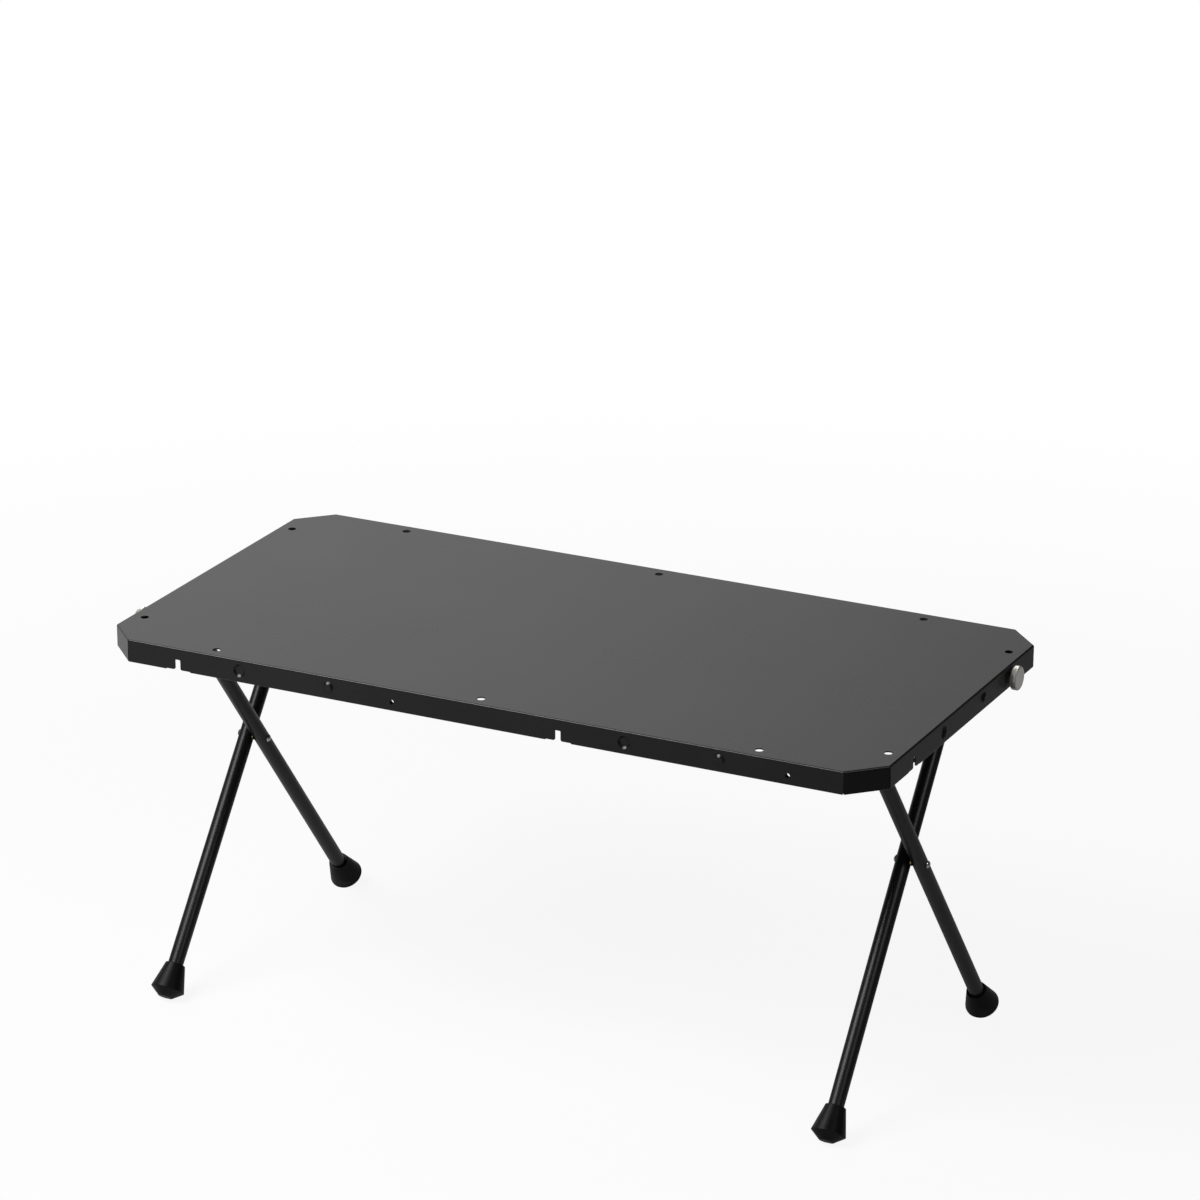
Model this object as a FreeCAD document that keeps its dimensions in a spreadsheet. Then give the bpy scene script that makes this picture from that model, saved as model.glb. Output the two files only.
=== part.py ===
import FreeCAD, Part
import math
import os
import Sketcher

# Modular camping table: a folded steel tray on two scissor leg sets.
# Frame: origin on the floor under the middle of the top, +X along the top, +Y to the rear, +Z up.
# The right leg set and its screw are the left ones turned half a turn about Z.

SIZES = (
    ("table_height", 404, "floor to top face"),
    ("top_length", 840, "tray, along X"),
    ("top_width", 420, "tray, along Y"),
    ("corner_cut", 33, "leg of the 45 degree corner"),
    ("flange_depth", 23.5, "folded rim, outside"),
    ("sheet", 1.2, "tray steel"),
    ("edge_radius", 1.6, "outer bend of the rim"),
    ("corner_radius", 1.5, "upright edges of the rim"),
    ("lip_width", 10, "lip turned inward along the rim's lower edge, outside"),
    ("lip_radius", 1.2, "outer bend of the lip"),
    ("seam_gap", 1, "groove where two rim flaps meet"),
    ("seam_depth", 1.05, "that groove, from the sharp corner"),
    ("seam_height", 13.3, "that groove, from the rim's lower edge"),
    ("grip_hole_dia", 8.5, "hole in the top"),
    ("grip_inset", 15, "hole to the nearest edge"),
    ("grip_long", 294, "outer holes of a long edge, from its middle"),
    ("grip_short", 148, "holes of a short edge, from its middle"),
    ("link_reach", 120, "notch and screw hole, from the middle of a rim module"),
    ("locator_reach", 50, "dimple and bump, from the middle of a rim module"),
    ("locator_drop", 11.25, "dimple and bump, below the top face"),
    ("dimple_dia", 13.3, "dimple mouth"),
    ("dimple_floor", 9.1, "dimple floor"),
    ("dimple_depth", 2, "dimple, outside"),
    ("bump_dia", 11.6, "bump foot"),
    ("bump_top", 7.4, "bump face"),
    ("bump_height", 1.9, "bump, outside"),
    ("notch_width", 6, "slot that hangs on a neighbour's screw"),
    ("notch_drop", 11.7, "slot's closed end, below the top face"),
    ("notch_top_radius", 1, "slot's inner corners"),
    ("notch_mouth_radius", 2, "slot's mouth"),
    ("relief_width", 28, "gap in the lip round the slot, lets a neighbour's knob in"),
    ("relief_over", 0.1, "that gap's reach into the rim above the lip"),
    ("thread_dia", 5, "link thread"),
    ("screw_drop", 14.2, "link screw, below the top face"),
    ("nut_width", 8, "weld nut across flats"),
    ("nut_length", 4, "weld nut"),
    ("tube_dia", 15.9, "leg tube"),
    ("tube_wall", 1.2, "leg tube"),
    ("leg_inset", 42, "end of the tray to an outer leg's plane"),
    ("leg_offset", 17.4, "inner to outer leg plane"),
    ("leg_tilt", 37.85, "degrees from upright"),
    ("pivot_drop", 173.7, "scissor pivot, below the top face"),
    ("rail_dia", 8, "rail that the leg heads hang on"),
    ("rail_drop", 12, "rail and top pins, below the top face"),
    ("rail_inset", 18.5, "inner leg's plane to the rail"),
    ("rail_over", 1.5, "rail's end past its bracket"),
    ("running_fit", 0.05, "radial play of a turning or sliding fit"),
    ("seat_gap", 0.3, "play between faces that move past each other"),
    ("bracket_sheet", 2, "rail bracket"),
    ("bracket_width", 16, "rail bracket, along X"),
    ("bracket_foot", 14, "rail bracket's welded foot, along Y"),
    ("bracket_margin", 4, "rail bracket, below the rail"),
    ("collar_dia", 14, "ring that keeps the fixed head"),
    ("collar_width", 6, "ring, along the rail"),
    ("barrel_dia", 14, "head's barrel round the rail"),
    ("head_width", 20, "head, along the rail"),
    ("pin_dia", 5, "top pin"),
    ("pin_grip", 5, "top pin's hold in its head"),
    ("pin_cap_dia", 9, "top pin's cap"),
    ("pin_cap", 2, "top pin's cap height"),
    ("tube_over", 5, "tube's end past its top pin"),
    ("plug_cap", 1.5, "top plug's cap"),
    ("plug_length", 16, "top plug inside the tube"),
    ("rivet_dia", 5, "scissor rivet"),
    ("rivet_cap_dia", 7.6, "rivet head"),
    ("rivet_cap", 2.2, "rivet head height"),
    ("spacer_dia", 9, "washer between the legs"),
    ("foot_rim", 35, "foot's widest ring"),
    ("foot_collar", 20.4, "foot's upper end"),
    ("foot_end", 14.5, "foot's lower end"),
    ("foot_flare", 27.5, "upper end to the widest ring"),
    ("foot_sole", 7, "rubber under the steel disc"),
    ("foot_round", 0.8, "foot's softened edges"),
    ("foot_flat", 0.4, "depth worn flat where the foot stands"),
    ("disc_thick", 1.5, "steel disc in the foot"),
    ("knob_dia", 24.2, "thumbscrew knob"),
    ("knob_thick", 6, "knob's disc"),
    ("knob_chamfer", 0.6, "knob's edges"),
    ("knob_neck_dia", 10, "knob's shoulder"),
    ("knob_neck", 2, "knob's shoulder length"),
    ("knob_skin", 1, "knob metal in front of the stud"),
    ("stud_tail", 7, "stud past the nut"),
    ("groove_dia", 3.8, "clip groove in the stud"),
    ("stud_button", 1, "stud's end behind the clip"),
    ("clip_dia", 9, "retaining clip"),
    ("clip_thick", 0.8, "retaining clip"),
)

doc = FreeCAD.newDocument("modular_camping_table")
sheet = doc.addObject("Spreadsheet::Sheet", "Size")
for row, (alias, value, note) in enumerate(SIZES, start=1):
    sheet.set(f"A{row}", note)
    sheet.set(f"B{row}", str(value))
    sheet.setAlias(f"B{row}", alias)
doc.recompute()

# Derived lengths, as formulas on the sheet.
TILT = "(Size.leg_tilt * 1 deg)"
TOP_Z = "Size.table_height"
UNDER_Z = "(Size.table_height - Size.sheet)"
RIM_Z = "(Size.table_height - Size.flange_depth)"
RAIL_Z = "(Size.table_height - Size.rail_drop)"
PIVOT_Z = "(Size.table_height - Size.pivot_drop)"
OUTER_X = "(Size.top_length / 2 - Size.leg_inset)"
PIVOT_X = f"({OUTER_X} - Size.leg_offset / 2)"
INNER_X = f"({OUTER_X} - Size.leg_offset)"
RAIL_X = f"({INNER_X} - Size.rail_inset)"
TUBE_R = "(Size.tube_dia / 2)"
PIN_Y = f"((Size.pivot_drop - Size.rail_drop) * tan({TILT}))"
ARM = f"((Size.pivot_drop - Size.rail_drop) / cos({TILT}))"
BEVEL = f"((Size.foot_rim - Size.foot_end) / 2 * tan({TILT}))"
RIM_LIFT = f"(Size.foot_rim / 2 * sin({TILT}) - Size.foot_flat)"
FOOT_ARM = f"(({PIVOT_Z} - {RIM_LIFT}) / cos({TILT}))"
DISC_SEAT = f"(Size.foot_sole - {BEVEL})"
HEAD_END = f"({PIN_Y} + Size.head_width / 2)"
STUD_R = "(Size.thread_dia / 2 - Size.running_fit)"

# Directions in which a primitive's own Z axis can be laid.
UPRIGHT = "rotation(vector(0; 0; 1); 0)"
ALONG_X = "rotation(vector(0; 1; 0); 90)"
ALONG_MINUS_X = "rotation(vector(0; 1; 0); -90)"
ALONG_Y = "rotation(vector(1; 0; 0); -90)"
ALONG_MINUS_Y = "rotation(vector(1; 0; 0); 90)"
END_TURN = {"left": 0, "right": 180}

MITRE = 22.5  # degrees, half of the rim's turn at each of its eight corners
SHELL_SHARE = 0.2  # of its block's volume, more than a hollowed tray can have
TINY = 1e-4  # mm, for telling edges apart

parts = []


def spot(x, y, z, turn=UPRIGHT):
    """Formula of a placement."""
    return f"placement(vector({x}; {y}; {z}); {turn})"


def about_z(degrees):
    """Formula of a turn about the upright axis."""
    return spot(0, 0, 0, f"rotation(vector(0; 0; 1); {degrees})")


def new_body(label):
    """Empty body that becomes one node."""
    body = doc.addObject("PartDesign::Body", label)
    parts.append(body)
    return body


def set_sizes(item, sizes):
    """Binds properties of an object to formulas."""
    for prop, formula in sizes.items():
        item.setExpression(prop, formula)


def solid(body, kind, place, **sizes):
    """Adds one additive or subtractive primitive to a body."""
    item = body.newObject("PartDesign::" + kind, f"{body.Name}_{kind}")
    set_sizes(item, sizes)
    item.setExpression("Placement", place)
    return item


def rod(body, place, radius, length):
    """Adds a round bar that starts at place and runs along its Z."""
    return solid(body, "AdditiveCylinder", place, Radius=radius, Height=length)


def bore(body, place, radius, length):
    """Cuts a round hole that starts at place and runs along its Z."""
    return solid(body, "SubtractiveCylinder", place, Radius=radius, Height=length)


def dome(body, place, radius, height):
    """Adds a low spherical head on a flat base at place."""
    ball = f"(({radius}) ^ 2 + ({height}) ^ 2) / (2 * {height})"
    sunk = f"({ball} - {height})"
    sizes = dict(Radius=ball, Angle1=f"asin({sunk} / ({ball}))")
    return solid(body, "AdditiveSphere", f"{place} * " + spot(0, 0, f"-{sunk}"), **sizes)


def origin_plane(body, role):
    """One of the body's own origin planes."""
    return next(item for item in body.Origin.OriginFeatures if item.Role == role)


def outline(body, role, points):
    """Sketch of a closed outline on an origin plane, each corner held by formulas for its two coordinates."""
    sketch = body.newObject("Sketcher::SketchObject", f"{body.Name}_outline")
    sketch.AttachmentSupport = (origin_plane(body, role), [""])
    sketch.MapMode = "FlatFace"
    count = len(points)
    guess = [FreeCAD.Vector(corner, corner * corner, 0) for corner in range(count)]
    for corner in range(count):
        sketch.addGeometry(Part.LineSegment(guess[corner], guess[(corner + 1) % count]))
    for corner in range(count):
        sketch.addConstraint(Sketcher.Constraint("Coincident", corner, 2, (corner + 1) % count, 1))
    for corner, formulas in enumerate(points):
        for kind, formula in zip(("DistanceX", "DistanceY"), formulas):
            held = sketch.addConstraint(Sketcher.Constraint(kind, -1, 1, corner, 1, 1.0))
            sketch.setExpression(f"Constraints[{held}]", formula)
    return sketch


def round_edges(body, base, kind, radius, wanted):
    """Fillet or chamfer on the edges of the base that the wanted test picks."""
    doc.recompute()
    names = [f"Edge{n}" for n, edge in enumerate(base.Shape.Edges, start=1) if wanted(edge)]
    item = body.newObject("PartDesign::" + kind, f"{body.Name}_{kind}")
    item.Base = (base, names)
    item.setExpression("Size" if kind == "Chamfer" else "Radius", radius)
    return item


def flat_at(height):
    """Test for an edge that lies wholly at one height."""
    return lambda edge: all(abs(v.Z - height) < TINY for v in edge.Vertexes)


def is_upright(edge):
    """Test for an edge along Z."""
    first, last = edge.Vertexes[0].Point, edge.Vertexes[-1].Point
    return (last - first).cross(FreeCAD.Vector(0, 0, 1)).Length < TINY


def is_outer_bend(edge):
    """Test for the edge along X through a body's own origin."""
    return all(math.hypot(v.Y, v.Z) < TINY for v in edge.Vertexes)


def tool(kind, place, **sizes):
    """Part primitive used to shape the tray."""
    item = doc.addObject("Part::" + kind, f"tray_{kind}")
    set_sizes(item, sizes)
    item.setExpression("Placement", place)
    return item


def octagon(inward):
    """Corners of the tray's plan, moved inward by a formula."""
    x = f"(Size.top_length / 2 - {inward})"
    y = f"(Size.top_width / 2 - {inward})"
    cut = f"(Size.corner_cut - {inward} * (2 - sqrt(2)))"
    quarter = ((x, f"{y} - {cut}"), (f"{x} - {cut}", y))
    corners = list(quarter)
    corners += [(f"-({a})", b) for a, b in reversed(quarter)]
    corners += [(f"-({a})", f"-({b})") for a, b in quarter]
    corners += [(a, f"-({b})") for a, b in reversed(quarter)]
    return corners


def pocket(body, corners, depth):
    """Cuts an outline downward from the underside of the tray's top sheet."""
    profile = outline(body, "XY_Plane", corners)
    profile.setExpression("AttachmentOffset.Base.z", "-Size.sheet")
    item = body.newObject("PartDesign::Pocket", f"{body.Name}_pocket")
    item.Profile = profile
    item.setExpression("Length", depth)
    return item


def make_blank():
    """Folded tray without its pressings and holes, top face at local Z 0."""
    body = doc.addObject("PartDesign::Body", "tray_blank")
    block = body.newObject("PartDesign::Pad", "tray_block")
    block.Profile = outline(body, "XY_Plane", octagon("0"))
    block.Reversed = True
    block.setExpression("Length", "Size.flange_depth")
    corners = round_edges(body, block, "Fillet", "Size.corner_radius", is_upright)
    rim = round_edges(body, corners, "Fillet", "Size.edge_radius", flat_at(0))
    bent = round_edges(body, rim, "Fillet", "Size.lip_radius", flat_at(-sheet.get("flange_depth")))
    pocket(body, octagon("Size.lip_width"), "Size.flange_depth")
    hollow = pocket(body, octagon("Size.sheet"), "Size.flange_depth - 2 * Size.sheet")
    body.Tip = hollow
    body.setExpression("Placement", spot(0, 0, TOP_Z))
    doc.recompute()
    if hollow.Shape.Volume > SHELL_SHARE * bent.Shape.Volume:
        raise RuntimeError("the tray was not hollowed")
    return body


def rim_modules():
    """Placement formulas of the six rim modules, local X along the rim and local Y into the tray."""
    half_x, half_y = "Size.top_length / 2", "Size.top_width / 2"
    quarter = "Size.top_length / 4"
    spots = ((f"-{quarter}", f"-{half_y}", 0), (quarter, f"-{half_y}", 0), (half_x, 0, 90))
    return [
        f"{about_z(turn)} * {spot(x, y, TOP_Z, f'rotation(vector(0; 0; 1); {angle})')}"
        for turn in (0, 180)
        for x, y, angle in spots
    ]


def module_pressings(module):
    """Dimple and bump of one rim module: what they add and what they cut away."""
    dimple = f"{module} * " + spot("-Size.locator_reach", "{depth}", "-Size.locator_drop", ALONG_Y)
    bump = f"{module} * " + spot("Size.locator_reach", "{depth}", "-Size.locator_drop", ALONG_MINUS_Y)
    dish = dict(Radius1="Size.dimple_dia / 2", Radius2="Size.dimple_floor / 2", Height="Size.dimple_depth")
    button = dict(Radius1="Size.bump_dia / 2", Radius2="Size.bump_top / 2", Height="Size.bump_height")
    added = [
        tool("Cone", dimple.format(depth="Size.sheet"), **dish),
        tool("Cone", bump.format(depth="0"), **button),
    ]
    cut = [
        tool("Cone", dimple.format(depth="0"), **dish),
        tool("Cone", bump.format(depth="Size.sheet"), **button),
    ]
    return added, cut


def module_cuts(module):
    """Notch, the gap in the lip round it and the link hole of one rim module."""
    through = "3 * Size.sheet"
    past_lip = "Size.lip_width + 2 * Size.sheet"
    notch_height = "Size.flange_depth - Size.notch_drop"
    notch_x = "-Size.link_reach - Size.notch_width / 2"
    relief_x = "-Size.link_reach - Size.relief_width / 2"
    return [
        tool(
            "Box",
            f"{module} * " + spot(notch_x, "-Size.sheet", "-Size.flange_depth"),
            Length="Size.notch_width", Width=through, Height=notch_height,
        ),
        tool(
            "Box",
            f"{module} * " + spot(relief_x, "-Size.sheet", "-Size.flange_depth"),
            Length="Size.relief_width", Width=past_lip, Height="Size.sheet + Size.relief_over",
        ),
        tool(
            "Cylinder",
            f"{module} * " + spot("Size.link_reach", "-Size.sheet", "-Size.screw_drop", ALONG_Y),
            Radius="Size.thread_dia / 2", Height=through,
        ),
    ]


def grip_holes():
    """Round holes along the four edges of the top."""
    edge_x = "(Size.top_length / 2 - Size.grip_inset)"
    edge_y = "(Size.top_width / 2 - Size.grip_inset)"
    spots = [(f"{sign} * Size.grip_long", edge_y) for sign in (-1, 0, 1)]
    spots += [(edge_x, f"{sign} * Size.grip_short") for sign in (-1, 1)]
    return [
        tool(
            "Cylinder",
            f"{about_z(turn)} * " + spot(x, y, f"{TOP_Z} - 2 * Size.sheet"),
            Radius="Size.grip_hole_dia / 2", Height="3 * Size.sheet",
        )
        for turn in (0, 180)
        for x, y in spots
    ]


def corner_seams():
    """Grooves between the rim flaps at the eight upright edges, and gaps along the mitres of their lips."""
    mitre_reach = f"(2 * Size.lip_width / cos({MITRE} deg) + 2 * Size.sheet)"
    cuts = (("(2 * Size.seam_depth)", "Size.seam_height"), (mitre_reach, "Size.sheet"))
    flange_side = ("Size.top_length / 2 - Size.corner_cut", "Size.top_width / 2", 90 - MITRE)
    end_side = ("Size.top_length / 2", "Size.top_width / 2 - Size.corner_cut", MITRE)
    seams = []
    for x, y, angle in (flange_side, end_side):
        for sign_x, sign_y in ((1, 1), (-1, 1), (-1, -1), (1, -1)):
            bisector = f"rotation(vector(0; 0; 1); {sign_x * sign_y * angle})"
            corner = spot(f"{sign_x} * ({x})", f"{sign_y} * ({y})", RIM_Z, bisector)
            for reach, height in cuts:
                place = f"{corner} * " + spot(f"-{reach} / 2", "-Size.seam_gap / 2", 0)
                seams.append(tool("Box", place, Length=reach, Width="Size.seam_gap", Height=height))
    return seams


def notch_corners(shape):
    """Edge numbers and radii for the inner corners and the mouths of the notches."""
    size = sheet.get
    slot_z = size("table_height") - size("notch_drop")
    mouth_z = size("table_height") - size("flange_depth") + size("sheet") + size("relief_over")
    corners = ((slot_z, size("notch_top_radius")), (mouth_z, size("notch_mouth_radius")))
    long_rim = [sign * size("top_length") / 4 - size("link_reach") for sign in (-1, 1)]
    short_rim = [-size("link_reach")]
    chosen = []
    for number, edge in enumerate(shape.Edges, start=1):
        if len(edge.Vertexes) != 2 or abs(edge.Length - size("sheet")) > TINY:
            continue
        middle = (edge.Vertexes[0].Point + edge.Vertexes[1].Point) * 0.5
        if abs(middle.x) > size("top_length") / 2 - 2 * size("sheet"):
            along, notches = math.copysign(1, middle.x) * middle.y, short_rim
        else:
            along, notches = -math.copysign(1, middle.y) * middle.x, long_rim
        offset = min(abs(along - notch) for notch in notches)
        for height, radius in corners:
            if abs(offset - size("notch_width") / 2) < TINY and abs(middle.z - height) < TINY:
                chosen.append((number, radius, radius))
    return chosen


def make_table_top():
    """Tray: blank plus pressings, less notches, holes and seams, with softened notch corners."""
    added, cut = [make_blank()], grip_holes() + corner_seams()
    for module in rim_modules():
        raised, sunk = module_pressings(module)
        added += raised
        cut += sunk + module_cuts(module)
    pressed = doc.addObject("Part::MultiFuse", "tray_pressed")
    pressed.Shapes = added
    cutters = doc.addObject("Part::Compound", "tray_cutters")
    cutters.Links = cut
    cut_tray = doc.addObject("Part::Cut", "tray_cut")
    cut_tray.Base = pressed
    cut_tray.Tool = cutters
    doc.recompute()
    top = doc.addObject("Part::Fillet", "table_top")
    top.Base = cut_tray
    top.Edges = notch_corners(cut_tray.Shape)
    parts.append(top)


def make_link_nuts():
    """Weld nuts behind the six link holes, one group of separate solids."""
    nuts = []
    for module in rim_modules():
        nut = doc.addObject("PartDesign::Body", "link_nut")
        prism = solid(
            nut, "AdditivePrism", spot(0, 0, 0),
            Circumradius="Size.nut_width / sqrt(3)", Height="Size.nut_length",
        )
        prism.Polygon = 6
        bore(nut, spot(0, 0, 0), "Size.thread_dia / 2", "Size.nut_length")
        seat = spot("Size.link_reach", "Size.sheet", "-Size.screw_drop", ALONG_Y)
        nut.setExpression("Placement", f"{module} * {seat}")
        nuts.append(nut)
    group = doc.addObject("Part::Compound", "link_nuts")
    group.Links = nuts
    parts.append(group)


def make_rail(end):
    """Rail under one end of the tray, its two brackets and the ring beside the fixed head."""
    reach = f"({HEAD_END} + Size.seat_gap + Size.bracket_sheet + Size.rail_over)"
    rail = new_body(f"{end}_rail")
    rod(rail, spot(0, f"-{reach}", 0, ALONG_Y), "Size.rail_dia / 2", f"2 * {reach}")
    rail.setExpression("Placement", f"{about_z(END_TURN[end])} * " + spot(f"-{RAIL_X}", 0, RAIL_Z))

    ear_height = "(Size.rail_drop - Size.sheet + Size.rail_dia / 2 + Size.bracket_margin)"
    for name, turn in (("fixed", 0), ("sliding", 180)):
        bracket = new_body(f"{end}_{name}_side_bracket")
        left = "-Size.bracket_width / 2"
        solid(
            bracket, "AdditiveBox", spot(left, "-Size.bracket_sheet", f"-{ear_height}"),
            Length="Size.bracket_width", Width="Size.bracket_sheet", Height=ear_height,
        )
        solid(
            bracket, "AdditiveBox", spot(left, "-Size.bracket_foot", "-Size.bracket_sheet"),
            Length="Size.bracket_width", Width="Size.bracket_foot", Height="Size.bracket_sheet",
        )
        bent = bore(
            bracket, spot(0, "-Size.bracket_sheet", "Size.sheet - Size.rail_drop", ALONG_Y),
            "Size.rail_dia / 2", "Size.bracket_sheet",
        )
        round_edges(bracket, bent, "Fillet", "Size.bracket_sheet", is_outer_bend)
        place = f"{about_z(END_TURN[end])} * " + spot(f"-{RAIL_X}", 0, UNDER_Z)
        bracket.setExpression(
            "Placement", f"{place} * {about_z(turn)} * " + spot(0, f"-{HEAD_END} - Size.seat_gap", 0)
        )

    collar = new_body(f"{end}_rail_collar")
    rod(collar, spot(0, 0, 0, ALONG_Y), "Size.collar_dia / 2", "Size.collar_width")
    bore(collar, spot(0, 0, 0, ALONG_Y), "Size.rail_dia / 2", "Size.collar_width")
    inner_face = f"-{PIN_Y} + Size.head_width / 2 + Size.seat_gap"
    collar.setExpression(
        "Placement", f"{about_z(END_TURN[end])} * " + spot(f"-{RAIL_X}", inner_face, RAIL_Z)
    )


def make_head(end, name, leg_x, side):
    """Head on the rail: a barrel and a block whose top face stops the leg from opening outward."""
    head = new_body(f"{end}_{name}_head")
    start = "-Size.head_width / 2"
    reach = f"({leg_x} - {RAIL_X} - {TUBE_R} - Size.seat_gap)"
    heel = "(Size.rail_drop - Size.sheet - Size.seat_gap)"
    rod(head, spot(0, start, 0, ALONG_Y), "Size.barrel_dia / 2", "Size.head_width")
    solid(
        head, "AdditiveBox", spot(f"-{reach}", start, "-Size.barrel_dia / 2"),
        Length=reach, Width="Size.head_width", Height=f"Size.barrel_dia / 2 + {heel}",
    )
    bore(head, spot(0, start, 0, ALONG_Y), "Size.rail_dia / 2 + Size.running_fit", "Size.head_width")
    bore(head, spot(f"-{reach}", 0, 0, ALONG_X), "Size.pin_dia / 2", "Size.pin_grip")
    head.setExpression(
        "Placement", f"{about_z(END_TURN[end])} * " + spot(f"-{RAIL_X}", f"{side} * {PIN_Y}", RAIL_Z)
    )


def make_leg(end, name, leg_x, side, rivet_play):
    """Leg tube with its top plug, top pin, steel disc and rubber foot; side is the sign of the top's Y."""
    leg_place = f"{about_z(END_TURN[end])} * " + spot(
        f"-{leg_x}", 0, PIVOT_Z, f"rotation(vector(1; 0; 0); {-side} * Size.leg_tilt)"
    )
    tube_end = f"({ARM} + Size.tube_over)"
    tube_foot = f"({FOOT_ARM} - {DISC_SEAT} - Size.disc_thick)"
    pin_hole = "Size.pin_dia / 2 + Size.running_fit"

    tube = new_body(f"{end}_{name}_leg")
    length = f"{tube_end} + {tube_foot}"
    rod(tube, spot(0, 0, f"-{tube_foot}"), TUBE_R, length)
    bore(tube, spot(0, 0, f"-{tube_foot}"), f"{TUBE_R} - Size.tube_wall", length)
    bore(tube, spot(f"-{TUBE_R}", 0, ARM, ALONG_X), pin_hole, "Size.tube_dia")
    bore(tube, spot(f"-{TUBE_R}", 0, 0, ALONG_X), f"Size.rivet_dia / 2 + {rivet_play}", "Size.tube_dia")
    tube.setExpression("Placement", leg_place)

    plug = new_body(f"{end}_{name}_top_plug")
    rod(plug, spot(0, 0, f"{tube_end} - Size.plug_length"), f"{TUBE_R} - Size.tube_wall", "Size.plug_length")
    rod(plug, spot(0, 0, tube_end), TUBE_R, "Size.plug_cap")
    bore(plug, spot(f"-{TUBE_R}", 0, ARM, ALONG_X), pin_hole, "Size.tube_dia")
    plug.setExpression("Placement", leg_place)

    pin = new_body(f"{end}_{name}_top_pin")
    outside = f"({TUBE_R} + Size.seat_gap)"
    rod(pin, spot(0, 0, f"-{outside} - Size.pin_grip"), "Size.pin_dia / 2", f"2 * {outside} + Size.pin_grip")
    dome(pin, spot(0, 0, outside), "Size.pin_cap_dia / 2", "Size.pin_cap")
    pin.setExpression(
        "Placement",
        f"{about_z(END_TURN[end])} * " + spot(f"-{leg_x}", f"{side} * {PIN_Y}", RAIL_Z, ALONG_MINUS_X),
    )

    disc = new_body(f"{end}_{name}_foot_disc")
    rod(disc, spot(0, 0, DISC_SEAT), TUBE_R, "Size.disc_thick")
    disc.setExpression("Placement", f"{leg_place} * " + spot(0, 0, f"-{FOOT_ARM}"))
    make_foot(end, name, leg_place, side)


def make_foot(end, name, leg_place, side):
    """Rubber foot turned about the leg, its lower cone flat on the floor; local Z 0 is the widest ring."""
    foot = new_body(f"{end}_{name}_foot")
    turned = foot.newObject("PartDesign::Revolution", f"{foot.Name}_turned")
    turned.Profile = outline(foot, "XZ_Plane", (
        ("0", f"-{BEVEL}"),
        ("Size.foot_end / 2", f"-{BEVEL}"),
        ("Size.foot_rim / 2", "0"),
        ("Size.foot_collar / 2", "Size.foot_flare"),
        (TUBE_R, "Size.foot_flare"),
        (TUBE_R, DISC_SEAT),
        ("0", DISC_SEAT),
    ))
    turned.ReferenceAxis = (turned.Profile[0], ["V_Axis"])
    turned.Angle = 360
    foot.Tip = turned
    rim, collar = sheet.get("foot_rim") / 2, sheet.get("foot_collar") / 2
    round_edges(
        foot, turned, "Fillet", "Size.foot_round",
        lambda edge: isinstance(edge.Curve, Part.Circle)
        and min(abs(edge.Curve.Radius - rim), abs(edge.Curve.Radius - collar)) < TINY,
    )
    level = spot(0, 0, 0, f"rotation(vector(1; 0; 0); {side} * Size.leg_tilt)")
    ground = spot("-Size.foot_rim", "-Size.foot_rim", f"-{RIM_LIFT} - Size.foot_rim")
    solid(
        foot, "SubtractiveBox", f"{level} * {ground}",
        Length="2 * Size.foot_rim", Width="2 * Size.foot_rim", Height="Size.foot_rim",
    )
    foot.setExpression("Placement", f"{leg_place} * " + spot(0, 0, f"-{FOOT_ARM}"))


def make_pivot(end):
    """Scissor rivet through both legs of one end, and the spacer between them."""
    place = f"{about_z(END_TURN[end])} * " + spot(f"-{PIVOT_X}", 0, PIVOT_Z, ALONG_X)
    half = f"(Size.leg_offset / 2 + {TUBE_R} + Size.seat_gap)"
    rivet = new_body(f"{end}_pivot_rivet")
    rod(rivet, spot(0, 0, f"-{half}"), "Size.rivet_dia / 2", f"2 * {half}")
    for turn in (0, 180):
        tip = spot(0, 0, 0, f"rotation(vector(1; 0; 0); {turn})") + " * " + spot(0, 0, half)
        dome(rivet, tip, "Size.rivet_cap_dia / 2", "Size.rivet_cap")
    rivet.setExpression("Placement", place)

    spacer = new_body(f"{end}_pivot_spacer")
    half_gap = f"(Size.leg_offset / 2 - {TUBE_R} - Size.seat_gap)"
    rod(spacer, spot(0, 0, f"-{half_gap}"), "Size.spacer_dia / 2", f"2 * {half_gap}")
    bore(spacer, spot(0, 0, f"-{half_gap}"), "Size.rivet_dia / 2", f"2 * {half_gap}")
    spacer.setExpression("Placement", place)


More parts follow.
